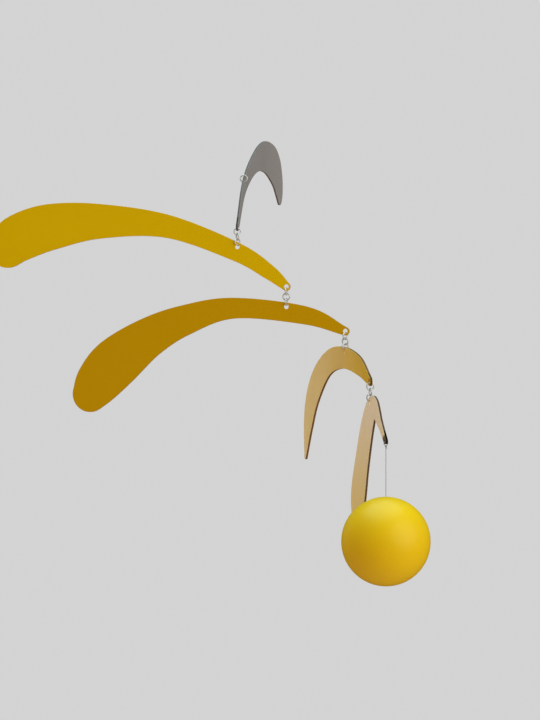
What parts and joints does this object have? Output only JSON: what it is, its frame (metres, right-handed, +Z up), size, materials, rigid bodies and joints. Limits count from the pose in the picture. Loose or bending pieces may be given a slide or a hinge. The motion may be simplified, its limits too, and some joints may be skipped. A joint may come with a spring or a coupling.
{
  "type": "hanging mobile sculpture",
  "caption": "Hanging mobile: curved flat sheet leaves linked tip to top by small rings, with a ball on a thread at the bottom.",
  "frame": {"origin": "inside of the top of the ring that the whole mobile hangs by", "axes": "+Z up along the hanging line, +X to the right of someone who looks along +Y at the broad faces of the yellow and ochre leaves"},
  "size_m": [0.2642, 0.3145, 0.2691],
  "materials": {
    "grey_paint": "satin grey paint on thin sheet with dark cut edges",
    "yellow_paint": "satin golden yellow paint on thin sheet with dark cut edges",
    "ochre_paint": "satin ochre paint on thin sheet with dark cut edges",
    "sand_paint": "satin sand paint on thin sheet with dark cut edges",
    "ring_steel": "bright plated wire",
    "thread": "thin grey twisted thread",
    "ball_paint": "matte yellow, faintly grained"
  },
  "bodies": {
    "grey_arm": {"grey_leaf": "grey_paint", "hanging_ring": "ring_steel", "chain_1_upper_ring": "ring_steel"},
    "yellow_arm": {"chain_1_middle_ring": "ring_steel", "chain_1_lower_ring": "ring_steel", "yellow_leaf": "yellow_paint", "chain_2_upper_ring": "ring_steel"},
    "ochre_arm": {"chain_2_middle_ring": "ring_steel", "chain_2_lower_ring": "ring_steel", "ochre_leaf": "ochre_paint", "chain_3_upper_ring": "ring_steel"},
    "upper_sand_arm": {"chain_3_middle_ring": "ring_steel", "chain_3_lower_ring": "ring_steel", "upper_sand_leaf": "sand_paint", "chain_4_upper_ring": "ring_steel"},
    "lower_sand_arm": {"chain_4_middle_ring": "ring_steel", "chain_4_lower_ring": "ring_steel", "lower_sand_leaf": "sand_paint", "thread_knot": "thread", "ball_thread": "thread", "ball": "ball_paint"}
  },
  "joints": [
    {"name": "yellow_arm_turn", "type": "hinge", "parent": "grey_arm", "child": "yellow_arm", "pos_m": [-0.00357, -0.02446, -0.0369], "axis": [0, 0, 1], "range_deg": [-45, 45]},
    {"name": "ochre_arm_turn", "type": "hinge", "parent": "yellow_arm", "child": "ochre_arm", "pos_m": [0.02578, -0.03232, -0.07312], "axis": [0, 0, 1], "range_deg": [-45, 45]},
    {"name": "upper_sand_arm_turn", "type": "hinge", "parent": "ochre_arm", "child": "upper_sand_arm", "pos_m": [0.06069, -0.04234, -0.09989], "axis": [0, 0, 1], "range_deg": [-45, 45]},
    {"name": "lower_sand_arm_turn", "type": "hinge", "parent": "upper_sand_arm", "child": "lower_sand_arm", "pos_m": [0.07301, -0.1029, -0.12914], "axis": [0, 0, 1], "range_deg": [-45, 45]}
  ]
}
